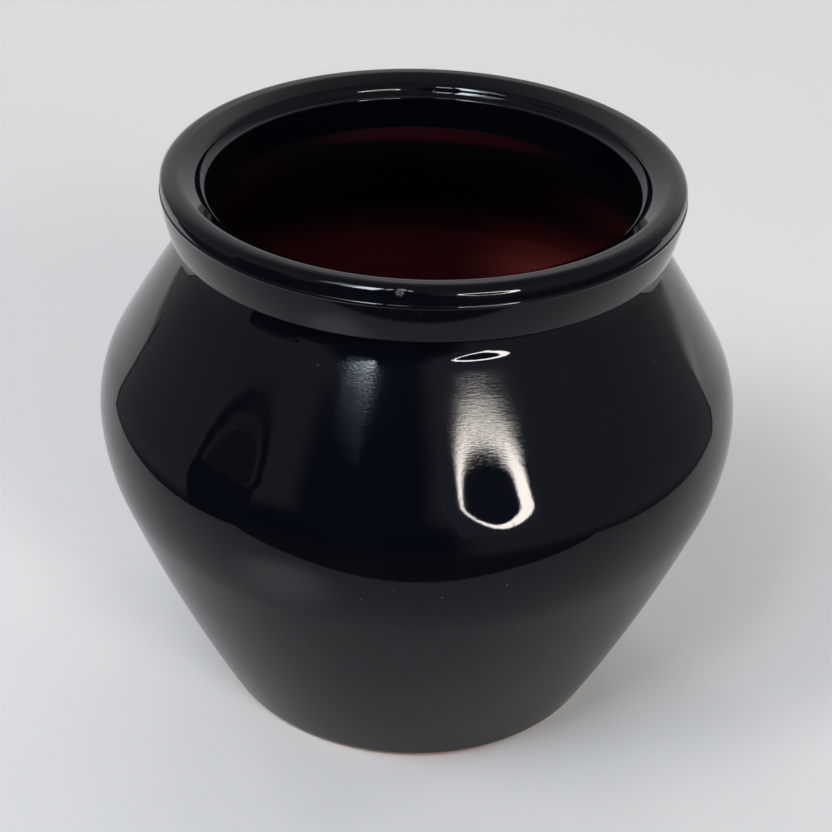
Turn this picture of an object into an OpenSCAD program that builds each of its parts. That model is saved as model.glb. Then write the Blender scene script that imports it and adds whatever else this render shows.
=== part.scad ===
// Round-bellied clay pot with a rolled rim, glossy black outside and red-brown inside.
// It stands on its foot at z = 0, and the Z axis is the axis it was turned on.
// The wall is six rings of clay, each luted to the next along a ridged joint, under three glaze coats.
// Every curve of the wall is an arc that runs into the next one without a corner.

/* [Belly] */
// Width of the pot at the belly
belly_d = 140; // [120:1:170]
// Height of the widest point
belly_z = 69.4; // [64:0.2:76]
// Radius of the curve just under the widest point
belly_low_r = 45.7; // [38:0.1:55]
// How far that curve turns, in degrees
belly_low_turn = 20.0; // [17:0.5:22]
// Radius of the curve just over the widest point
belly_high_r = 26.7; // [22:0.1:32]
// How far that curve turns, in degrees
belly_high_turn = 29.6; // [27:0.2:32]

/* [Flank and shoulder] */
// Radius of the long curve from the belly down to the foot
flank_r = 435; // [350:5:600]
// Radius of the long curve from the belly up to the neck
shoulder_r = 321; // [250:1:500]
// Height at which the shoulder turns into the neck
shoulder_top_z = 105.6; // [103:0.2:108]
// Radius of the hollow curve of the neck
neck_r = 10.5; // [8:0.5:12]

/* [Rim] */
// How far the band's lower edge stands out from the neck
band_overhang = 3.2; // [2.8:0.1:4]
// Height of the flat band round the rim
band_h = 9.1; // [7.5:0.1:10]
// Radius of the upper part of the rolled lip
lip_r = 3.1; // [2.9:0.1:3.4]
// Slope of the lip towards the mouth, in degrees
lip_slope = 27.6; // [22:0.2:32]
// Length of that slope
lip_slope_l = 3.0; // [2.6:0.1:3.4]

/* [Wall and coats] */
// Thickness of the wall with its coats
wall_t = 5.0; // [4.5:0.1:6]
// Thickness of the floor with its lining
floor_t = 6.5; // [5:0.5:9]
// Radius of the curve where the floor meets the wall, inside
floor_fillet_r = 8; // [6:0.5:10]
// Thickness of the black glaze outside
coat_t = 0.5; // [0.4:0.05:0.6]
// Thickness of the red-brown lining inside
lining_t = 0.4; // [0.3:0.05:0.5]
// Height of the bare clay left round the foot
bare_foot_h = 1.8; // [1.2:0.1:3]
// Height of the ridge in each joint between two rings
joint_ridge_h = 1.5; // [0.5:0.1:2]

/* [Hidden] */

clay_colour = "#7a3b26";
black_colour = "#08090c";
red_colour = "#3a0f0c";
turned_fn = 120;
clay_in = wall_t - lining_t;
foot_edge_r = 0.8;

// A point at a distance and an angle from a centre
function polar(centre, r, a) = centre + r * [cos(a), sin(a)];
// Points along an arc, with a point at each end
function arc(centre, r, from, to, n = 8) =
    [for (i = [0:n]) polar(centre, r, from + (to - from) * i / n)];
// The angle, seen from the centre, at which an arc passes a height
function angle_at(centre, r, z) = asin((z - centre[1]) / r);
function reversed(points) = [for (i = [len(points) - 1:-1:0]) points[i]];
function after_first(points) = [for (i = [1:len(points) - 1]) points[i]];

// Centres of the wall's arcs. Each lies on the line through the point where its arc meets the last one
belly_low_c = [belly_d / 2 - belly_low_r, belly_z];
belly_high_c = [belly_d / 2 - belly_high_r, belly_z];
flank_c = polar(belly_low_c, belly_low_r - flank_r, -belly_low_turn);
shoulder_c = polar(belly_high_c, belly_high_r - shoulder_r, belly_high_turn);
shoulder_a = angle_at(shoulder_c, shoulder_r, shoulder_top_z);
neck_c = polar(shoulder_c, shoulder_r + neck_r, shoulder_a);

// Angles on the flank: the foot's edge, the end of the black coat and the curve up from the floor
foot_a = angle_at(flank_c, flank_r - coat_t - foot_edge_r, foot_edge_r);
coat_end_a = angle_at(flank_c, flank_r, bare_foot_h);
fillet_z = floor_t + floor_fillet_r;
fillet_a = angle_at(flank_c, flank_r - wall_t - floor_fillet_r, fillet_z);
fillet_c = polar(flank_c, flank_r - wall_t - floor_fillet_r, fillet_a);
foot_edge_c = polar(flank_c, flank_r - coat_t - foot_edge_r, foot_a);

// The wall's stretches at a depth under the outer surface, each from bottom to top
function flank_line(depth, from) = arc(flank_c, flank_r - depth, from, -belly_low_turn, 12);
function belly_line(depth) = concat(arc(belly_low_c, belly_low_r - depth, -belly_low_turn, 0, 10),
    arc(belly_high_c, belly_high_r - depth, 2, belly_high_turn, 12));
function shoulder_line(depth) =
    arc(shoulder_c, shoulder_r - depth, belly_high_turn, shoulder_a, 8);
function neck_line(depth) = arc(neck_c, neck_r + depth, 180 + shoulder_a, 180, 8);
function wall_line(depth, from) = concat(flank_line(depth, from), after_first(belly_line(depth)),
    after_first(shoulder_line(depth)), after_first(neck_line(depth)));

// The rim, worked out from the height and radius at which the hollow neck stands upright
rim_z = neck_c[1];
neck_out_r = neck_c[0] - neck_r;
mouth_wall_r = neck_out_r - wall_t;
mouth_coat_z = rim_z + 1.6;
band_edge_r = 0.9;
band_edge_z = 0.5;
band_curve_r = 46;
band_low_a = -17;
ridge_r = 0.5;
ridge_proud = 0.05;
ridge_over_a = 50;
lip_side_r = 2;
lip_side_a = 12;
lip_side_step = 0.2;
lip_side_up = 1.85;
lip_turn_a = 45;
lip_top_a = 90 + lip_slope;
mouth_round_r = 2.6;
mouth_round_a = 165;
bead_r = 0.45;
bead_a = 128;
bead_in = 0.8;
bead_down = 1.5;

band_c = polar([neck_out_r + band_overhang, rim_z + band_edge_z], -band_curve_r, band_low_a);
band_edge_c = polar(band_c, band_curve_r - band_edge_r, band_low_a);
band_top_a = angle_at(band_c, band_curve_r, rim_z + band_h - ridge_r);
ridge_c = polar(band_c, band_curve_r - ridge_r + ridge_proud, band_top_a);
lip_side_c = ridge_c + [ridge_r - lip_side_step - lip_side_r, lip_side_up];
lip_c = polar(lip_side_c, lip_side_r - lip_r, lip_turn_a);
slope_end = polar(polar(lip_c, lip_r, lip_top_a), lip_slope_l, lip_top_a + 90);
mouth_c = polar(slope_end, -mouth_round_r, lip_top_a);
bead_c = polar(mouth_c, mouth_round_r, mouth_round_a) - [bead_in, bead_down];

// Outline of the rim from the band's lower edge, over the ridge and the lip and down to the bead
// in the mouth. The clay, which lies at a depth, has no ridge and no bead of its own
function rim_line(depth) = concat(
    arc(band_edge_c, band_edge_r - depth, -90, band_low_a, 5),
    after_first(arc(band_c, band_curve_r - depth, band_low_a, band_top_a, 6)),
    depth > 0 ? [] : arc(ridge_c, ridge_r, 0, ridge_over_a, 4),
    arc(lip_side_c, lip_side_r - depth, lip_side_a, lip_turn_a, 4),
    after_first(arc(lip_c, lip_r - depth, lip_turn_a, lip_top_a, 9)),
    arc(mouth_c, mouth_round_r - depth, lip_top_a, mouth_round_a, 7),
    depth > 0 ? [bead_c + [depth - bead_r, 0]] : arc(bead_c, bead_r, bead_a, 180, 5));

// The line of a joint through the wall, from outside to inside, with a ridge along its middle
function joint_line(centre, r, a) =
    let (ridge_a = a + joint_ridge_h / r * 180 / PI)
    [polar(centre, r - coat_t, a), polar(centre, r - (coat_t + clay_in) / 2, ridge_a),
     polar(centre, r - clay_in, a)];
floor_joint = joint_line(flank_c, flank_r, fillet_a);
belly_joint = joint_line(flank_c, flank_r, -belly_low_turn);
shoulder_joint = joint_line(shoulder_c, shoulder_r, belly_high_turn);
neck_joint = joint_line(shoulder_c, shoulder_r, shoulder_a);
rim_joint = [[neck_out_r - coat_t, rim_z], [neck_out_r - (coat_t + clay_in) / 2, rim_z + joint_ridge_h],
             [neck_out_r - clay_in, rim_z]];

// A ring of the wall: its outer line, the joint over it, its inner line and the joint under it
module wall_ring(outer, joint_over, inner, joint_under) {
    color(clay_colour)
        rotate_extrude($fn = turned_fn)
            polygon(concat(outer, [joint_over[1]], reversed(inner), [joint_under[1]]));
}

// Round slab with the foot's rounded edge, the start of the wall and the curve inside
module floor_disc() {
    color(clay_colour)
        rotate_extrude($fn = turned_fn)
            polygon(concat(
                [[0, 0]],
                arc(foot_edge_c, foot_edge_r, -90, foot_a, 5),
                after_first(arc(flank_c, flank_r - coat_t, foot_a, fillet_a, 4)),
                [floor_joint[1]],
                arc(fillet_c, floor_fillet_r + lining_t, fillet_a, -90, 8),
                [[0, floor_t - lining_t]]));
}

module lower_wall() {
    wall_ring(flank_line(coat_t, fillet_a), belly_joint, flank_line(clay_in, fillet_a), floor_joint);
}

module belly_ring() {
    wall_ring(belly_line(coat_t), shoulder_joint, belly_line(clay_in), belly_joint);
}

module shoulder_ring() {
    wall_ring(shoulder_line(coat_t), neck_joint, shoulder_line(clay_in), shoulder_joint);
}

module neck_ring() {
    wall_ring(neck_line(coat_t), rim_joint, neck_line(clay_in), neck_joint);
}

// Rolled rim with its band, ridge and lip, standing on the neck
module rim_roll() {
    color(clay_colour)
        rotate_extrude($fn = turned_fn)
            polygon(concat(
                rim_line(coat_t),
                [[neck_out_r - clay_in, mouth_coat_z], rim_joint[2], rim_joint[1], rim_joint[0],
                 [neck_out_r - coat_t, rim_z + coat_t]]));
}

// Black glaze over the outside, from the bare foot up to the rim's underside
module black_body_glaze() {
    color(black_colour)
        rotate_extrude($fn = turned_fn)
            polygon(concat(wall_line(0, coat_end_a), reversed(wall_line(coat_t, coat_end_a))));
}

// Black glaze under the band, over the lip and a little way down the mouth
module black_rim_glaze() {
    color(black_colour)
        rotate_extrude($fn = turned_fn)
            polygon(concat(
                [[neck_out_r - coat_t, rim_z], [neck_out_r, rim_z]], rim_line(0),
                [[mouth_wall_r, mouth_coat_z], [neck_out_r - clay_in, mouth_coat_z]],
                reversed(rim_line(coat_t)), [[neck_out_r - coat_t, rim_z + coat_t]]));
}

// Red-brown lining from the middle of the floor up to the black glaze in the mouth
module red_inner_glaze() {
    color(red_colour)
        rotate_extrude($fn = turned_fn)
            polygon(concat(
                [[0, floor_t - lining_t]],
                arc(fillet_c, floor_fillet_r + lining_t, -90, fillet_a, 8),
                after_first(wall_line(clay_in, fillet_a)),
                [[neck_out_r - clay_in, mouth_coat_z], [mouth_wall_r, mouth_coat_z]],
                reversed(wall_line(wall_t, fillet_a)),
                after_first(arc(fillet_c, floor_fillet_r, fillet_a, -90, 8)),
                [[0, floor_t]]));
}

floor_disc();
lower_wall();
belly_ring();
shoulder_ring();
neck_ring();
rim_roll();
black_body_glaze();
black_rim_glaze();
red_inner_glaze();
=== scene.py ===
import math
import bmesh
import bpy
from mathutils import Euler
from mathutils import Matrix
from mathutils import Vector
from mathutils import noise


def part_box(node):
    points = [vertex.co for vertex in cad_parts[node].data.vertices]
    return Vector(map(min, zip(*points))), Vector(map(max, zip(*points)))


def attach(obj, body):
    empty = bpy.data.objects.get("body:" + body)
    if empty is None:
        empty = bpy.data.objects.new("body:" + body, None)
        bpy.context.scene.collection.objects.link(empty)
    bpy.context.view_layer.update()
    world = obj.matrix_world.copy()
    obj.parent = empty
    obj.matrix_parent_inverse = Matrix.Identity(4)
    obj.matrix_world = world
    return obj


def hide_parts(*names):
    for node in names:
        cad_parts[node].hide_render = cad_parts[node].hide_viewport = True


# Looks of a small round-bellied clay pot: mirror-gloss black glaze outside, red-brown glaze inside
# and bare red clay under the foot. Outlines are in millimetres, as radius and height, and every
# curve of the wall is an arc that runs into the next one. Everything else is in metres.

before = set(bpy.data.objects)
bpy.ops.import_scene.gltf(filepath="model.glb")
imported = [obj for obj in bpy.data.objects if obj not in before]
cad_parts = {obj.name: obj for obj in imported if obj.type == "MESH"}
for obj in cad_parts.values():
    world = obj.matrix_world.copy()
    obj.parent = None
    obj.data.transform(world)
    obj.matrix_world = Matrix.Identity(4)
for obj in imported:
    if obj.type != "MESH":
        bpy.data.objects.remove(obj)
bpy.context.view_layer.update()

MM = 0.001
AROUND = 288

# ---- Sizes of the wall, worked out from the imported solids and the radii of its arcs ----

body_low, body_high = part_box("black_body_glaze")
rim_low, rim_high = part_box("black_rim_glaze")
lining_low, lining_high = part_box("red_inner_glaze")
slab_low, slab_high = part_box("floor_disc")

BELLY_R = body_high.x / MM
BELLY_Z = 69.4
BELLY_LOW_R = 45.7
BELLY_LOW_TURN = 20.0
BELLY_HIGH_R = 26.7
BELLY_HIGH_TURN = 29.6
FLANK_R = 435.0
SHOULDER_R = 321.0
SHOULDER_TOP_Z = 105.6
NECK_R = 10.5
FILLET_R = 6.0
FILLET_START = 0.7
FILLET_TURN = 19.0
WALL_T = 5.0
FLOOR_Z = 6.5
FLOOR_CURVE_R = 8.0
COAT_T = 0.5
LINING_T = 0.4
COAT_END_Z = body_low.z / MM
FOOT_EDGE_R = 0.8


def polar(centre, radius, angle):
    """The point at a distance and an angle in degrees from a centre."""
    turn = math.radians(angle)
    return (centre[0] + radius * math.cos(turn), centre[1] + radius * math.sin(turn))


def arc(centre, radius, start, end, steps):
    """Points along an arc, with a point at each end."""
    return [polar(centre, radius, start + (end - start) * i / steps) for i in range(steps + 1)]


def angle_at(centre, radius, height):
    """The angle in degrees, seen from the centre, at which an arc passes a height."""
    return math.degrees(math.asin((height - centre[1]) / radius))


BELLY_LOW_C = (BELLY_R - BELLY_LOW_R, BELLY_Z)
BELLY_HIGH_C = (BELLY_R - BELLY_HIGH_R, BELLY_Z)
FLANK_C = polar(BELLY_LOW_C, BELLY_LOW_R - FLANK_R, -BELLY_LOW_TURN)
SHOULDER_C = polar(BELLY_HIGH_C, BELLY_HIGH_R - SHOULDER_R, BELLY_HIGH_TURN)
SHOULDER_A = angle_at(SHOULDER_C, SHOULDER_R, SHOULDER_TOP_Z)
NECK_C = polar(SHOULDER_C, SHOULDER_R + NECK_R, SHOULDER_A)
COAT_END_A = angle_at(FLANK_C, FLANK_R, COAT_END_Z)
FOOT_A = angle_at(FLANK_C, FLANK_R - COAT_T - FOOT_EDGE_R, FOOT_EDGE_R)
INNER_FLOOR_A = angle_at(FLANK_C, FLANK_R - WALL_T - FLOOR_CURVE_R, FLOOR_Z + FLOOR_CURVE_R)
INNER_FLOOR_C = polar(FLANK_C, FLANK_R - WALL_T - FLOOR_CURVE_R, INNER_FLOOR_A)

RIM_Z = NECK_C[1]
NECK_OUT_R = NECK_C[0] - NECK_R
MOUTH_WALL_R = NECK_OUT_R - WALL_T
MOUTH_COAT_Z = lining_high.z / MM
BAND_OVERHANG = 3.2
BAND_H = 9.1
BAND_EDGE_Z = 0.5
BAND_EDGE_R = 0.9
BAND_CURVE_R = 46.0
BAND_LOW_A = -17.0
RIDGE_R = 0.5
RIDGE_PROUD = 0.05
LIP_SIDE_R = 2.0
LIP_SIDE_UP = 1.85
LIP_SIDE_STEP = 0.2
LIP_TURN_A = 45.0
LIP_R = 3.1
LIP_SLOPE = 27.6
LIP_SLOPE_L = 2.85
LIP_TOP_A = 90.0 + LIP_SLOPE
MOUTH_ROUND_R = 2.2
MOUTH_ROUND_A = 165.0
BEAD_R = 0.45
BEAD_IN = 1.0
BEAD_DOWN = 1.5
RIM_DROP = 0.02

# ---- Small faults in the glaze, each at an azimuth in degrees, a radius and a height ----

RIM_CHIP = (-4.0, 54.7, 123.0)
SCRATCH = (16.5, 68.2, 79.0)
PITS = [(-8.0, 69.4, 62.5), (5.0, 69.6, 64.0), (15.5, 69.9, 66.0), (19.0, 66.6, 52.0),
        (-19.5, 63.9, 45.0), (62.0, 53.8, 124.0), (178.0, 47.0, 121.4)]

BAND_C = polar((NECK_OUT_R + BAND_OVERHANG, RIM_Z + BAND_EDGE_Z), -BAND_CURVE_R, BAND_LOW_A)
BAND_EDGE_C = polar(BAND_C, BAND_CURVE_R - BAND_EDGE_R, BAND_LOW_A)
BAND_TOP_A = angle_at(BAND_C, BAND_CURVE_R, RIM_Z + BAND_H - RIDGE_R)
RIDGE_C = polar(BAND_C, BAND_CURVE_R - RIDGE_R + RIDGE_PROUD, BAND_TOP_A)
LIP_SIDE_C = (RIDGE_C[0] + RIDGE_R - LIP_SIDE_STEP - LIP_SIDE_R, RIDGE_C[1] + LIP_SIDE_UP)
LIP_C = polar(LIP_SIDE_C, LIP_SIDE_R - LIP_R, LIP_TURN_A)
SLOPE_END = polar(polar(LIP_C, LIP_R, LIP_TOP_A), LIP_SLOPE_L, LIP_TOP_A + 90.0)
MOUTH_C = polar(SLOPE_END, -MOUTH_ROUND_R, LIP_TOP_A)
MOUTH_EDGE = polar(MOUTH_C, MOUTH_ROUND_R, MOUTH_ROUND_A)
BEAD_C = (MOUTH_EDGE[0] - BEAD_IN, MOUTH_EDGE[1] - BEAD_DOWN)


# ---- Outlines ----

def wall_line(depth, start_a, fine):
    """The wall's line from low on the flank to the neck, at a depth under its outer face."""
    flank = arc(FLANK_C, FLANK_R - depth, start_a, -BELLY_LOW_TURN, 12 * fine)
    belly_low = arc(BELLY_LOW_C, BELLY_LOW_R - depth, -BELLY_LOW_TURN, 0.0, 6 * fine)
    belly_high = arc(BELLY_HIGH_C, BELLY_HIGH_R - depth, 0.0, BELLY_HIGH_TURN, 6 * fine)
    shoulder = arc(SHOULDER_C, SHOULDER_R - depth, BELLY_HIGH_TURN, SHOULDER_A, 8 * fine)
    neck = arc(NECK_C, NECK_R + depth, 180.0 + SHOULDER_A, 180.0, 5 * fine)
    return flank + belly_low[1:] + belly_high[1:] + shoulder[1:] + neck[1:]


def fillet_line(fine):
    """The coat's outer line from the shoulder into the neck: a tight turn, then a slacker one."""
    start_a = SHOULDER_A + math.degrees(FILLET_START / SHOULDER_R)
    end_a = start_a - FILLET_TURN
    tight_c = polar(SHOULDER_C, SHOULDER_R + FILLET_R, start_a)
    middle = polar(tight_c, -FILLET_R, end_a)
    slack_r = (middle[0] - NECK_OUT_R) / (1.0 - math.cos(math.radians(end_a)))
    slack_c = polar(middle, slack_r, end_a)
    tight = arc(tight_c, -FILLET_R, start_a, end_a, 4 * fine)
    slack = arc(slack_c, -slack_r, end_a, 0.0, 3 * fine)
    return tight + [point for point in slack[1:] if point[1] < RIM_Z]


def coat_line(start_a, fine):
    """The outer line of the body's coat, from its rolled edge to the neck."""
    wall = wall_line(0.0, start_a, fine)
    shoulder = [point for point in wall if point[1] <= SHOULDER_TOP_Z]
    return shoulder + fillet_line(fine) + [(NECK_OUT_R, RIM_Z)]


def rim_line():
    """The rim's outer line: band, ridge, lip, slope into the mouth, groove and bead."""
    band_edge = arc(BAND_EDGE_C, BAND_EDGE_R, -90.0, BAND_LOW_A, 8)
    band = arc(BAND_C, BAND_CURVE_R, BAND_LOW_A, BAND_TOP_A, 18)
    ridge = arc(RIDGE_C, RIDGE_R, 0.0, 60.0, 6)
    lip_side = arc(LIP_SIDE_C, LIP_SIDE_R, 12.0, LIP_TURN_A, 7)
    lip = arc(LIP_C, LIP_R, LIP_TURN_A, LIP_TOP_A, 16)
    mouth = arc(MOUTH_C, MOUTH_ROUND_R, LIP_TOP_A, MOUTH_ROUND_A, 12)
    bead = arc(BEAD_C, BEAD_R, 98.0, 180.0, 10)
    return band_edge + band[1:] + ridge + lip_side + lip[1:] + mouth + bead


# ---- Turned meshes ----

def turned_mesh(name, outline, shape):
    """A closed turned solid from a closed outline. shape(r, z, angle) returns the shaped (r, z)."""
    points = []
    rows = []
    for r, z in outline:
        if r < 1e-6:
            rows.append([len(points)])
            points.append((0.0, 0.0, shape(r, z, 0.0)[1] * MM))
            continue
        rows.append(list(range(len(points), len(points) + AROUND)))
        for i in range(AROUND):
            angle = 2.0 * math.pi * i / AROUND
            sr, sz = shape(r, z, angle)
            points.append((sr * math.cos(angle) * MM, sr * math.sin(angle) * MM, sz * MM))
    faces = []
    for low, high in zip(rows, rows[1:] + rows[:1]):
        faces.extend(row_faces(low, high))
    mesh = bpy.data.meshes.new(name)
    mesh.from_pydata(points, [], faces)
    mesh.shade_smooth()
    mesh.set_sharp_from_angle(angle=math.radians(50.0))
    mesh.validate()
    piece = bpy.data.objects.new(name, mesh)
    bpy.context.scene.collection.objects.link(piece)
    return piece


def row_faces(low, high):
    """The faces between two rows of a turned mesh, either of which may be a single point."""
    if len(low) == 1 and len(high) == 1:
        return []
    if len(low) == 1:
        return [(low[0], high[(i + 1) % AROUND], high[i]) for i in range(AROUND)]
    if len(high) == 1:
        return [(low[i], low[(i + 1) % AROUND], high[0]) for i in range(AROUND)]
    return [(low[i], low[(i + 1) % AROUND], high[(i + 1) % AROUND], high[i])
            for i in range(AROUND)]


def unevenness(z, angle, size_mm, seed):
    """Slow wandering of a hand-turned surface, from 0 to 1."""
    around = Vector((math.cos(angle), math.sin(angle), z / size_mm + seed))
    return 0.5 + 0.5 * max(-1.0, min(1.0, noise.noise(around)))


def turning(z, angle, pitch_mm):
    """Shallow spiral left by the fingers and the rib, from 0 to 1."""
    return 0.5 + 0.5 * math.sin(2.0 * math.pi * z / pitch_mm + angle)


def chip(z, angle, spot, depth, size):
    """How far a small shallow chip goes in at a point. The spot is an azimuth, a radius and a height."""
    azimuth, radius, height = spot
    turned = math.remainder(math.degrees(angle) + 90.0 - azimuth, 360.0)
    away = math.hypot(radius * math.radians(turned), z - height) / size
    return depth * max(0.0, 1.0 - away * away)


def body_shape(r, z, angle):
    """The body is drawn in by a few hundredths of a millimetre, never pushed out."""
    depth = 0.05 * unevenness(z, angle, 24.0, 3.0) + 0.004 * turning(z, angle, 4.2)
    return (r - depth, z)


def rim_shape(r, z, angle):
    """The rim wanders a little less than the body, because it was finished last."""
    depth = 0.03 * unevenness(z, angle, 9.0, 11.0)
    if r > LIP_C[0]:
        depth += chip(z, angle, RIM_CHIP, 0.25, 1.1)
    return (r - depth, z - RIM_DROP)


def lining_shape(r, z, angle):
    """Finger ridges on the inside, deeper than outside, with a flat floor."""
    rise = min(1.0, max(0.0, (z - FLOOR_Z) / 12.0))
    fade = min(1.0, max(0.0, (RIM_Z - z) / 6.0))
    depth = rise * fade * 0.12 * turning(z, angle, 7.5)
    return (r - depth, z)


def slab_shape(r, z, angle):
    """Fine turning rings round the edge and a shallow spiral under the slab."""
    if z < 0.05:
        return (r, 0.06 * max(0.0, math.sin(2.0 * math.pi * r / 2.3 + angle)) * min(1.0, r / 6.0))
    return (r, z)


def make_body_glaze():
    """The black coat outside, from a rolled edge just over the foot up to the rim's underside."""
    outer = coat_line(COAT_END_A, 5)
    inner = wall_line(COAT_T, COAT_END_A, 2)
    edge_c = polar(FLANK_C, FLANK_R - COAT_T / 2.0, COAT_END_A)
    edge = arc(edge_c, COAT_T / 2.0, COAT_END_A - 180.0, COAT_END_A, 8)
    outline = edge[1:-1] + outer + inner[::-1]
    return turned_mesh("body_glaze", outline, body_shape)


def make_rim_glaze():
    """The black coat over the band and the lip and a little way down the mouth."""
    outer = [(NECK_OUT_R, RIM_Z)] + rim_line() + [(MOUTH_WALL_R, MOUTH_COAT_Z)]
    clay_r = MOUTH_WALL_R + LINING_T
    back = [(clay_r, MOUTH_COAT_Z), (clay_r + 0.4, LIP_C[1] - 3.0), (LIP_C[0], LIP_C[1]),
            (LIP_SIDE_C[0], RIDGE_C[1]), (BAND_EDGE_C[0], BAND_EDGE_C[1] + 0.4),
            (NECK_OUT_R - COAT_T, RIM_Z + COAT_T), (NECK_OUT_R - COAT_T, RIM_Z)]
    return turned_mesh("rim_glaze", outer + back, rim_shape)


def make_inner_glaze():
    """The red-brown coat inside, from the middle of the floor up to the black in the mouth."""
    floor_curve = arc(INNER_FLOOR_C, FLOOR_CURVE_R, -90.0, INNER_FLOOR_A, 16)
    under_curve = arc(INNER_FLOOR_C, FLOOR_CURVE_R + LINING_T, -90.0, INNER_FLOOR_A, 8)
    rings = [(r, FLOOR_Z) for r in (6.0, 12.0, 18.0, 24.0)]
    face = [(0.0, FLOOR_Z)] + rings + floor_curve + wall_line(WALL_T, INNER_FLOOR_A, 4)[1:]
    back = [(0.0, FLOOR_Z - LINING_T)] + under_curve
    back += wall_line(WALL_T - LINING_T, INNER_FLOOR_A, 2)[1:]
    top = [(MOUTH_WALL_R, MOUTH_COAT_Z), (MOUTH_WALL_R + LINING_T, MOUTH_COAT_Z)]
    outline = back + top[::-1] + face[::-1]
    return turned_mesh("inner_glaze", outline, lining_shape)


def make_foot_slab():
    """The clay slab that shows under the coat, with its turned underside."""
    underside = [(0.0, 0.0)] + [(0.5 * i, 0.0) for i in range(1, 84)]
    edge_c = polar(FLANK_C, FLANK_R - COAT_T - FOOT_EDGE_R, FOOT_A)
    edge = arc(edge_c, FOOT_EDGE_R, -90.0, FOOT_A, 8)
    side = arc(FLANK_C, FLANK_R - COAT_T, FOOT_A, INNER_FLOOR_A, 12)
    under_lining = arc(INNER_FLOOR_C, FLOOR_CURVE_R + LINING_T, INNER_FLOOR_A, -90.0, 10)
    outline = underside + edge + side[1:] + under_lining + [(0.0, FLOOR_Z - LINING_T)]
    return turned_mesh("foot_slab", outline, slab_shape)


# ---- Materials ----

class Nodes:
    """A material's node tree, with short calls to add nodes and join them."""

    def __init__(self, tree):
        self.tree = tree

    def add(self, kind, **settings):
        node = self.tree.nodes.new(kind)
        for key, value in settings.items():
            setattr(node, key, value)
        return node

    def join(self, source, target):
        self.tree.links.new(source, target)

    def noise(self, vector, scale, detail=3.0, roughness=0.5):
        node = self.add("ShaderNodeTexNoise")
        node.inputs["Scale"].default_value = scale
        node.inputs["Detail"].default_value = detail
        node.inputs["Roughness"].default_value = roughness
        self.join(vector, node.inputs["Vector"])
        return node.outputs["Fac"]

    def stretched(self, vector, scale):
        node = self.add("ShaderNodeMapping")
        node.inputs["Scale"].default_value = scale
        self.join(vector, node.inputs["Vector"])
        return node.outputs["Vector"]

    def spread(self, value, low, high, to_low, to_high):
        """Maps a value from one range to another, smoothly and without going past its ends."""
        node = self.add("ShaderNodeMapRange", interpolation_type="SMOOTHSTEP")
        for socket, number in zip(node.inputs[1:5], (low, high, to_low, to_high)):
            socket.default_value = number
        self.join(value, node.inputs[0])
        return node.outputs[0]

    def maths(self, operation, first, second):
        node = self.add("ShaderNodeMath", operation=operation)
        for socket, value in zip(node.inputs, (first, second)):
            if isinstance(value, (int, float)):
                socket.default_value = value
            else:
                self.join(value, socket)
        return node.outputs[0]

    def mix(self, fac, first, second):
        """A colour between two colours, each given as three numbers or as a socket."""
        node = self.add("ShaderNodeMix", data_type="RGBA")
        self.join(fac, node.inputs[0])
        for socket, value in zip(node.inputs[6:8], (first, second)):
            if isinstance(value, tuple):
                socket.default_value = (*value, 1.0)
            else:
                self.join(value, socket)
        return node.outputs[2]

    def bump(self, height, distance, strength=1.0, over=None):
        node = self.add("ShaderNodeBump")
        node.inputs["Distance"].default_value = distance
        node.inputs["Strength"].default_value = strength
        self.join(height, node.inputs["Height"])
        if over is not None:
            self.join(over, node.inputs["Normal"])
        return node.outputs["Normal"]


def new_material(name):
    """A material with only a Principled shader. Returns the material, its nodes and the shader."""
    material = bpy.data.materials.new(name)
    material.use_nodes = True
    material.node_tree.nodes.clear()
    nodes = Nodes(material.node_tree)
    shader = nodes.add("ShaderNodeBsdfPrincipled")
    output = nodes.add("ShaderNodeOutputMaterial")
    nodes.join(shader.outputs["BSDF"], output.inputs["Surface"])
    return material, nodes, shader


def place_of(nodes):
    """The point on the pot, in metres, and its height."""
    place = nodes.add("ShaderNodeTexCoord").outputs["Object"]
    split = nodes.add("ShaderNodeSeparateXYZ")
    nodes.join(place, split.inputs[0])
    return place, split.outputs["Z"]


def specks(nodes, place, per_metre, size):
    """Scattered dots, 1 in the middle of a dot and 0 between dots."""
    node = nodes.add("ShaderNodeTexVoronoi")
    node.inputs["Scale"].default_value = per_metre
    nodes.join(place, node.inputs["Vector"])
    return nodes.spread(node.outputs["Distance"], 0.0, size, 1.0, 0.0)


def spot(nodes, place, where, wide, tall):
    """A spot on the pot, 1 in its middle and 0 at its edge. The place is azimuth, radius and height."""
    azimuth, radius, height = where
    turn = math.radians(azimuth)
    scale = (1.0 / (wide * MM), 1.0 / (wide * MM), 1.0 / (tall * MM))
    centre = (radius * math.sin(turn), -radius * math.cos(turn), height)
    node = nodes.add("ShaderNodeVectorMath", operation="DISTANCE")
    nodes.join(nodes.stretched(place, scale), node.inputs[0])
    node.inputs[1].default_value = [c * MM * s for c, s in zip(centre, scale)]
    return nodes.spread(node.outputs["Value"], 0.5, 1.0, 1.0, 0.0)


def sum_of(nodes, values):
    """All the values added together."""
    total = values[0]
    for value in values[1:]:
        total = nodes.maths("ADD", total, value)
    return total


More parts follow.
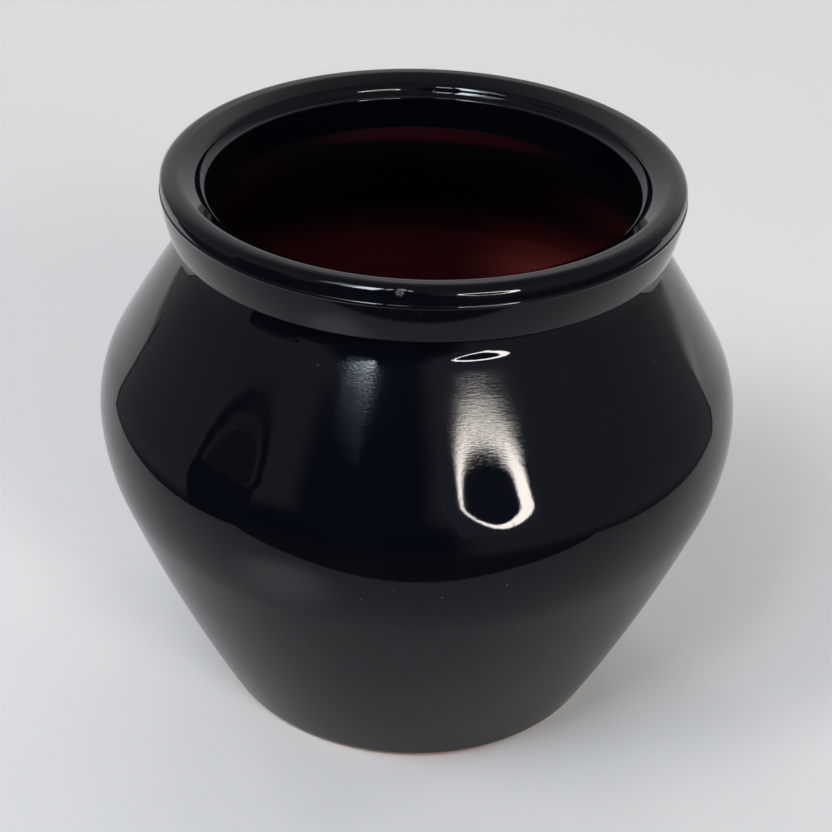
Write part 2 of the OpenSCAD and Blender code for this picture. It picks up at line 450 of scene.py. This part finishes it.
def black_glaze_material():
    """Near-black gloss glaze, with fine turning lines that blur what the shoulder reflects."""
    material, nodes, shader = new_material("black_glaze")
    place, height = place_of(nodes)
    under_neck = nodes.spread(height, 0.1045, 0.1068, 1.0, 0.0)
    blurred = nodes.maths("MULTIPLY", nodes.spread(height, 0.088, 0.101, 0.02, 1.0), under_neck)
    split = nodes.add("ShaderNodeSeparateXYZ")
    nodes.join(place, split.inputs[0])
    side = nodes.spread(split.outputs["X"], -0.034, -0.022, 0.25, 1.0)
    blurred = nodes.maths("MULTIPLY", blurred, side)
    turned = nodes.maths("MULTIPLY", nodes.spread(height, 0.084, 0.097, 0.03, 1.0), under_neck)
    turned = nodes.maths("MULTIPLY", turned, side)
    banded = nodes.maths("MULTIPLY", nodes.spread(height, 0.114, 0.1185, 0.08, 0.30),
                         nodes.spread(height, 0.1190, 0.1205, 1.0, 0.4))
    cloud = nodes.noise(place, 60.0)
    tint = nodes.mix(cloud, (0.0010, 0.0014, 0.0030), (0.0018, 0.0022, 0.0042))
    dust = specks(nodes, place, 230.0, 0.032)
    pits = sum_of(nodes, [spot(nodes, place, pit, 0.28, 0.34) for pit in PITS])
    chipped = nodes.maths("MULTIPLY", spot(nodes, place, RIM_CHIP, 1.1, 0.9),
                          nodes.spread(nodes.noise(place, 2500.0), 0.35, 0.6, 0.2, 1.0))
    worn = nodes.maths("MAXIMUM", nodes.maths("MAXIMUM", dust, pits), chipped)
    tint = nodes.mix(worn, tint, (0.045, 0.045, 0.048))
    tint = nodes.mix(dust, tint, (0.16, 0.16, 0.155))
    nodes.join(tint, shader.inputs["Base Color"])
    smear = nodes.spread(nodes.noise(place, 35.0), 0.35, 0.75, 0.030, 0.050)
    rough = nodes.maths("ADD", smear, nodes.maths("MULTIPLY", blurred, 0.066))
    nodes.join(nodes.maths("ADD", rough, nodes.maths("MULTIPLY", worn, 0.4)),
               shader.inputs["Roughness"])
    level = nodes.stretched(place, (1000.0, 1000.0, 4600.0))
    lines = nodes.noise(level, 1.0, detail=3.0, roughness=0.6)
    depth = nodes.maths("MULTIPLY", lines, nodes.maths("ADD", turned, banded))
    normal = nodes.bump(depth, 0.000014)
    normal = nodes.bump(nodes.noise(place, 120.0, detail=2.0), 0.000006, over=normal)
    normal = nodes.bump(nodes.noise(place, 2200.0, detail=2.0), 0.0000025, over=normal)
    scratch = spot(nodes, place, SCRATCH, 0.16, 1.0)
    raised = sum_of(nodes, [dust, pits, scratch])
    nodes.join(nodes.bump(raised, 0.00004, over=normal), shader.inputs["Normal"])
    shader.inputs["IOR"].default_value = 1.5
    shader.inputs["Anisotropic"].default_value = 0.5
    shader.inputs["Anisotropic Rotation"].default_value = 0.25
    return material


def red_glaze_material():
    """Red-brown glaze: glossy, with pinholes. Painted shade turns it nearly black above about 80 mm, up to
    under the mouth; a painted pool of light makes it paler on the back right, and a painted lit band leaves
    a dim red strip high at the back of the neck.
    """
    material, nodes, shader = new_material("red_glaze")
    place, height = place_of(nodes)
    cloud = nodes.noise(nodes.stretched(place, (20.0, 20.0, 90.0)), 1.0)
    wavy = nodes.maths("ADD", height, nodes.spread(nodes.noise(place, 18.0), 0.3, 0.7, -0.002, 0.002))
    # Painted pool of light: a paler red patch on the inside wall at the back right, about 72 mm up, where
    # light through the mouth falls.
    bright = spot(nodes, place, (135.0, 65.0, 72.0), 44.0, 32.0)
    tint = nodes.mix(cloud, (0.040, 0.006, 0.006), (0.056, 0.008, 0.009))
    tint = nodes.mix(bright, tint, (0.19, 0.030, 0.026))
    # Painted shade: from 72 mm up, and fully from 90 mm, the lining is painted nearly black where little
    # light gets inside the pot.
    dark = nodes.spread(wavy, 0.072, 0.090, 0.0, 1.0)
    tint = nodes.mix(dark, tint, (0.0020, 0.0020, 0.0038))
    # Painted light: a dim red band high at the back of the neck, over the painted shade, where light reaches
    # the inside.
    painted_lit_band = spot(nodes, place, (178.0, 45.3, 111.6), 34.0, 2.6)
    tint = nodes.mix(painted_lit_band, tint, (0.017, 0.0025, 0.004))
    holes = specks(nodes, place, 130.0, 0.022)
    nodes.join(nodes.mix(holes, tint, (0.05, 0.03, 0.03)), shader.inputs["Base Color"])
    rough = nodes.maths("ADD", nodes.spread(cloud, 0.3, 0.7, 0.10, 0.16), nodes.maths("MULTIPLY", dark, 0.2))
    nodes.join(rough, shader.inputs["Roughness"])
    lines = nodes.noise(nodes.stretched(place, (10.0, 10.0, 1400.0)), 1.0, detail=2.0)
    normal = nodes.bump(lines, 0.000015)
    nodes.join(nodes.bump(holes, 0.00005, over=normal), shader.inputs["Normal"])
    shader.inputs["IOR"].default_value = 1.38
    return material


def clay_material():
    """Bare fired clay: matt, pink-brown, gritty, with turning lines."""
    material, nodes, shader = new_material("clay")
    place, height = place_of(nodes)
    cloud = nodes.noise(place, 180.0, detail=5.0)
    tint = nodes.mix(cloud, (0.30, 0.14, 0.10), (0.46, 0.26, 0.19))
    grit = specks(nodes, place, 900.0, 0.18)
    nodes.join(nodes.mix(grit, tint, (0.16, 0.07, 0.05)), shader.inputs["Base Color"])
    nodes.join(nodes.spread(cloud, 0.3, 0.7, 0.78, 0.92), shader.inputs["Roughness"])
    lines = nodes.noise(nodes.stretched(place, (30.0, 30.0, 1800.0)), 1.0, detail=3.0)
    normal = nodes.bump(lines, 0.00008)
    normal = nodes.bump(nodes.noise(place, 2600.0, detail=4.0), 0.00006, over=normal)
    nodes.join(nodes.bump(grit, 0.00006, over=normal), shader.inputs["Normal"])
    return material


# ---- The pot ----

def dress(piece, material, slot, *replaced):
    """Gives a new piece its material and body, and hides the solids that it stands for. The slot is not
    used.
    """
    piece.data.materials.append(material)
    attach(piece, "root")
    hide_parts(*replaced)


def make_pot():
    black = black_glaze_material()
    red = red_glaze_material()
    clay = clay_material()
    dress(make_body_glaze(), black, "black_glaze", "black_body_glaze")
    dress(make_rim_glaze(), black, "black_glaze", "black_rim_glaze")
    dress(make_inner_glaze(), red, "red_glaze", "red_inner_glaze")
    dress(make_foot_slab(), clay, "clay", "floor_disc")
    for name in ("lower_wall", "belly_ring", "shoulder_ring", "neck_ring", "rim_roll"):
        for material_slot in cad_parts[name].material_slots:
            material_slot.material = clay


# ---- Studio ----

# Sheet corners are (x, y) in metres, from the back to the front, and PATCH_AT is a point in metres.
# LAMP_AT is an azimuth and an elevation. The soft lamps are (azimuth, elevation, watts).

FAR = 6.0
SHEET_LEFT = [(-5.4, 4.0), (-0.29, 0.15), (-0.26, 0.04), (-0.20, -0.15)]
SHEET_RIGHT = [(5.4, 3.8), (0.31, 0.13), (0.28, 0.05), (0.22, -0.15)]
SEAM_WIDTH = 0.045
SHEET_UP = 0.0001
PATCH_AT = (-0.072, -0.10, 0.0)
LAMP_AT = (28.3, 18.0)
LAMP_AWAY = 0.45
WINDOW_AWAY = 1.6
WALL_AWAY = 1.5
DOOR_MIDDLE = -66.5
DOOR_SPRING = 13.0
DOOR_LEAN = 5.0
WINDOW_COLOUR = (0.80, 0.90, 1.0)
SOFT_LAMPS = [(-60, 50, 7.0), (-60, 30, 7.0), (-90, 30, 2.5), (30, 30, 10.0), (30, 12, 7.5),
              (120, 12, 9.0), (150, 12, 3.0), (180, 12, 4.8), (-150, 12, 8.0)]


def stage_mesh(name, points, faces, material):
    mesh = bpy.data.meshes.new(name)
    mesh.from_pydata(points, [], faces)
    mesh.materials.append(material)
    thing = bpy.data.objects.new(name, mesh)
    bpy.context.scene.collection.objects.link(thing)
    return thing


def paper_material(name, first, second):
    """Plain paper, whose colour wanders a little between two greys."""
    material, nodes, shader = new_material(name)
    place = nodes.add("ShaderNodeTexCoord").outputs["Object"]
    nodes.join(nodes.mix(nodes.noise(place, 3.0), first, second), shader.inputs["Base Color"])
    shader.inputs["Roughness"].default_value = 0.9
    return material


def glow_material(name, colour, strength):
    material = bpy.data.materials.new(name)
    material.use_nodes = True
    material.node_tree.nodes.clear()
    nodes = Nodes(material.node_tree)
    glow = nodes.add("ShaderNodeEmission")
    glow.inputs["Color"].default_value = (*colour, 1.0)
    glow.inputs["Strength"].default_value = strength
    output = nodes.add("ShaderNodeOutputMaterial")
    nodes.join(glow.outputs[0], output.inputs["Surface"])
    return material


def flat_sheet(name, corners, height, material):
    points = [(x, y, height) for x, y in corners]
    return stage_mesh(name, points, [tuple(range(len(points)))], material)


def reflected_paper():
    """The floor as the glaze shows it: painted shadow makes it dimmer towards the camera, and one paler
    patch is painted light.
    """
    material, nodes, shader = new_material("reflected_paper")
    place = nodes.add("ShaderNodeTexCoord").outputs["Object"]
    split = nodes.add("ShaderNodeSeparateXYZ")
    nodes.join(place, split.inputs[0])
    # Painted shadow: the sheet is painted dimmer towards the camera.
    far = nodes.spread(split.outputs["Y"], -0.152, 0.16, 0.0, 1.0)
    tint = nodes.mix(far, (0.30, 0.30, 0.305), (0.78, 0.78, 0.785))
    # Painted light: a paler patch round PATCH_AT, where light falls on the sheet.
    node = nodes.add("ShaderNodeVectorMath", operation="DISTANCE")
    nodes.join(place, node.inputs[0])
    node.inputs[1].default_value = PATCH_AT
    patch = nodes.spread(node.outputs["Value"], 0.005, 0.045, 1.0, 0.0)
    nodes.join(nodes.mix(patch, tint, (0.72, 0.72, 0.73)), shader.inputs["Base Color"])
    shader.inputs["Roughness"].default_value = 0.9
    return material


def make_floor():
    """Pale paper for the camera, and over it a sheet that only the glaze reflects."""
    paper = paper_material("paper", (0.775, 0.775, 0.775), (0.795, 0.795, 0.795))
    dim = paper_material("seam", (0.05, 0.05, 0.05), (0.07, 0.07, 0.07))
    square = [(FAR, FAR), (-FAR, FAR), (-FAR, -FAR), (FAR, -FAR)]
    around = flat_sheet("floor_round", square, 0.0, paper)
    around.visible_glossy = False
    sheet = SHEET_LEFT + SHEET_RIGHT[::-1]
    only_reflected(flat_sheet("floor_sheet", sheet, SHEET_UP, reflected_paper()))
    for name, side in (("seam_left", SHEET_LEFT[:3]), ("seam_right", SHEET_RIGHT[:3])):
        strip = side + [(x * (1.0 + SEAM_WIDTH), y) for x, y in side[::-1]]
        only_reflected(flat_sheet(name, strip, 2.0 * SHEET_UP, dim))


def only_reflected(thing):
    """The pot's gloss shows this, and it neither lights the floor nor stands in any view."""
    thing.visible_camera = False
    thing.visible_diffuse = False
    thing.visible_shadow = False


def toward(azimuth, elevation, distance, centre=(0.0, 0.0, 0.07)):
    """A point seen from the pot. Azimuth 0 is towards the camera and 90 is to the right."""
    turn = math.radians(azimuth)
    rise = math.radians(elevation)
    step = Vector((math.sin(turn) * math.cos(rise), -math.cos(turn) * math.cos(rise), math.sin(rise)))
    return Vector(centre) + step * distance


def face_pot(thing, place):
    """Puts a thing in place with its front, -Z, towards the pot."""
    back = place - Vector((0.0, 0.0, 0.07))
    thing.rotation_mode = "QUATERNION"
    thing.rotation_quaternion = back.to_track_quat("Z", "Y")
    thing.location = place


def unseen(thing):
    """A lamp that lights and is reflected, and neither shows in a view nor throws a shadow."""
    thing.visible_camera = False
    thing.visible_shadow = False


def egg(centre, wide, tall, swell, lean, steps):
    """A closed loop in millimetres, wider above by the swell, whose top is moved over by the lean."""
    loop = []
    for i in range(steps):
        turn = 2.0 * math.pi * i / steps
        rise = math.sin(turn)
        x = centre[0] + wide * math.cos(turn) * (1.0 + swell * rise)
        x += lean * (0.5 + 0.5 * rise) ** 3
        loop.append((x * MM, (centre[1] + tall * rise) * MM, 0.0))
    return loop


def ring_lamp():
    """A ring-shaped lamp beside the camera, thicker on its right than on its left."""
    steps = 120
    inner = egg((-15.0, 0.0), 63.0, 86.0, 0.35, -30.0, steps)
    outer = egg((0.0, 0.0), 82.0, 114.0, 0.25, -50.0, steps)
    faces = [(i, (i + 1) % steps, steps + (i + 1) % steps, steps + i) for i in range(steps)]
    glow = glow_material("ring_lamp", (1.0, 0.93, 0.86), 24.0)
    lamp = stage_mesh("ring_lamp", inner + outer, faces, glow)
    dark = glow_material("lamp_middle", (0.045, 0.055, 0.095), 1.0)
    middle = stage_mesh("lamp_middle", inner, [tuple(range(steps))], dark)
    face_pot(lamp, toward(*LAMP_AT, LAMP_AWAY))
    face_pot(middle, toward(*LAMP_AT, LAMP_AWAY + MM))
    only_reflected(lamp)
    only_reflected(middle)


def room_shape(name, corners, distance, colour):
    """A flat shape in the room, from azimuths and elevations, which only the glaze shows."""
    points = [toward(azimuth, elevation, distance) for azimuth, elevation in corners]
    glow = glow_material(name, colour, 1.0)
    only_reflected(stage_mesh(name, points, [tuple(range(len(points)))], glow))


def arch(half_width, rise, foot):
    """An arched outline, as azimuths and elevations. The foot is how far it goes below the spring."""
    top = arc((0.0, 0.0), 1.0, 180.0, 0.0, 24)
    outline = [(DOOR_MIDDLE + half_width * x + DOOR_LEAN * y, DOOR_SPRING + rise * y) for x, y in top]
    low = DOOR_SPRING - foot
    return [(DOOR_MIDDLE - half_width, low)] + outline + [(DOOR_MIDDLE + half_width, low)]


def dark_doorway():
    """An arched doorway seen in the glaze on the left, with a paler edge and a brown inside."""
    room_shape("doorway_frame", arch(12.5, 12.0, 43.0), 1.46, (0.016, 0.020, 0.034))
    room_shape("doorway_edge", arch(10.0, 9.5, 1.0), 1.38, (0.14, 0.145, 0.15))
    room_shape("doorway_inside", arch(8.5, 8.0, 1.0), 1.30, (0.060, 0.055, 0.050))


def pale_wall():
    """A bluish stretch of wall behind the lamp, which leans a little, seen only in the glaze."""
    corners = [(15.0, 0.0), (42.0, 0.0), (45.0, 40.0), (4.0, 40.0)]
    room_shape("pale_wall", corners, WALL_AWAY, (0.185, 0.21, 0.27))


def pane(name, corners, strength, shown):
    """One pane of the window: a lamp that lights the pot, and before it what the glaze shows."""
    points = [toward(azimuth, elevation, WINDOW_AWAY) for azimuth, elevation in corners]
    glow = glow_material(name, WINDOW_COLOUR, strength)
    lamp = stage_mesh(name, points, [tuple(range(len(points)))], glow)
    unseen(lamp)
    lamp.visible_glossy = False
    room_shape(name + "_shown", corners, WINDOW_AWAY - 0.01, [part * shown for part in WINDOW_COLOUR])


def window():
    """Panes up to the left of the camera, which give the main light, and the dim wall under them."""
    pane("window_left", [(-48.0, 60.0), (-48.0, 41.0), (-36.0, 39.5), (-36.0, 60.0)], 2.5, 3.0)
    pane("window_middle", [(-36.0, 60.0), (-36.0, 39.5), (-31.0, 38.5), (-31.0, 60.0)], 5.0, 8.0)
    pane("window_main", [(-31.0, 60.0), (-31.0, 38.5), (-20.5, 38.0), (-20.5, 60.0)], 11.0, 19.0)
    pane("window_right", [(-17.0, 60.0), (-17.0, 50.0), (-6.0, 51.0), (-6.0, 58.0)], 8.0, 8.0)
    sill = [(-34.0, 39.0), (-32.0, 31.0), (-21.0, 28.0), (-20.5, 38.0)]
    room_shape("window_sill", sill, WINDOW_AWAY - 0.01, (0.26, 0.34, 0.52))


def area_light(name, azimuth, elevation, distance, size, colour, power):
    data = bpy.data.lights.new(name, "AREA")
    data.shape = "DISK"
    data.size = size
    data.color = colour
    data.energy = power
    lamp = bpy.data.objects.new(name, data)
    bpy.context.scene.collection.objects.link(lamp)
    face_pot(lamp, toward(azimuth, elevation, distance))
    lamp.visible_glossy = False
    return lamp


def near_to(nodes, direction, azimuth, elevation, flatten=1.0):
    """How far a direction is from a fixed one, from 0 to 2. A number over 1 counts height for more."""
    scale = (1.0, 1.0, flatten)
    node = nodes.add("ShaderNodeVectorMath", operation="DISTANCE")
    nodes.join(nodes.stretched(direction, scale), node.inputs[0])
    fixed = toward(azimuth, elevation, 1.0, (0.0, 0.0, 0.0))
    node.inputs[1].default_value = [part * by for part, by in zip(fixed, scale)]
    return node.outputs["Value"]


def make_world():
    """A room that is pale behind the pot, dim at its sides and dark where the camera stands."""
    world = bpy.data.worlds.new("room")
    bpy.context.scene.world = world
    world.use_nodes = True
    world.node_tree.nodes.clear()
    nodes = Nodes(world.node_tree)
    direction = nodes.add("ShaderNodeTexCoord").outputs["Generated"]
    split = nodes.add("ShaderNodeSeparateXYZ")
    nodes.join(direction, split.inputs[0])
    ceiling = nodes.spread(split.outputs["Z"], 0.60, 0.90, 0.0, 1.0)
    colour = nodes.mix(ceiling, (0.170, 0.185, 0.190), (0.13, 0.13, 0.13))
    behind = nodes.spread(near_to(nodes, direction, 180.0, 20.0), 0.45, 1.10, 1.0, 0.0)
    colour = nodes.mix(behind, colour, (0.58, 0.59, 0.60))
    bright = nodes.spread(near_to(nodes, direction, 172.0, 46.0), 0.10, 0.38, 1.0, 0.0)
    colour = nodes.mix(bright, colour, (1.08, 1.08, 1.10))
    front = nodes.spread(near_to(nodes, direction, -12.0, -8.0, 1.1), 0.40, 0.64, 1.0, 0.0)
    colour = nodes.mix(front, colour, (0.014, 0.020, 0.036))
    under = nodes.spread(near_to(nodes, direction, -35.0, -30.0), 0.55, 0.80, 1.0, 0.0)
    colour = nodes.mix(under, colour, (0.012, 0.016, 0.026))
    dark_side = nodes.spread(near_to(nodes, direction, -18.0, 22.0, 0.7), 0.30, 0.46, 1.0, 0.0)
    colour = nodes.mix(dark_side, colour, (0.016, 0.023, 0.046))
    low = nodes.spread(split.outputs["Z"], -0.38, -0.20, 1.0, 0.0)
    colour = nodes.mix(low, colour, (0.035, 0.037, 0.045))
    glow = nodes.add("ShaderNodeBackground")
    nodes.join(colour, glow.inputs["Color"])
    output = nodes.add("ShaderNodeOutputWorld")
    nodes.join(glow.outputs[0], output.inputs["Surface"])


def make_backdrop():
    """A plain pale ball of air round the scene, for views that look past the floor."""
    mesh = bpy.data.meshes.new("backdrop")
    ball = bmesh.new()
    bmesh.ops.create_uvsphere(ball, u_segments=32, v_segments=16, radius=FAR * 1.4)
    ball.to_mesh(mesh)
    ball.free()
    mesh.materials.append(glow_material("backdrop", (0.68, 0.69, 0.70), 1.0))
    thing = bpy.data.objects.new("backdrop", mesh)
    bpy.context.scene.collection.objects.link(thing)
    thing.visible_diffuse = False
    thing.visible_glossy = False
    thing.visible_shadow = False
    thing.visible_transmission = False


def make_studio():
    make_world()
    make_floor()
    make_backdrop()
    ring_lamp()
    window()
    dark_doorway()
    pale_wall()
    for azimuth, elevation, power in SOFT_LAMPS:
        area_light(f"lamp_{azimuth}_{elevation}", azimuth, elevation, 2.0, 0.6, (1.0, 0.99, 0.975), power)


def make_camera():
    """The camera looks down from the front, a little tilted, as a hand-held one is."""
    place = (-0.0001, -0.3791, 0.2970)
    look_down = 31.74
    tilt = 1.78
    data = bpy.data.cameras.new("camera")
    data.sensor_width = 36.0
    data.lens = 85.67
    data.clip_start = 0.01
    data.clip_end = 50.0
    camera = bpy.data.objects.new("camera", data)
    bpy.context.scene.collection.objects.link(camera)
    aim = Euler((math.radians(90.0 - look_down), 0.0, 0.0)).to_matrix()
    turn = Matrix.Rotation(math.radians(tilt), 3, "Z")
    camera.matrix_world = Matrix.Translation(place) @ (aim @ turn).to_4x4()
    bpy.context.scene.camera = camera
    bpy.context.scene.view_settings.view_transform = "Standard"


make_camera()
make_pot()
make_studio()
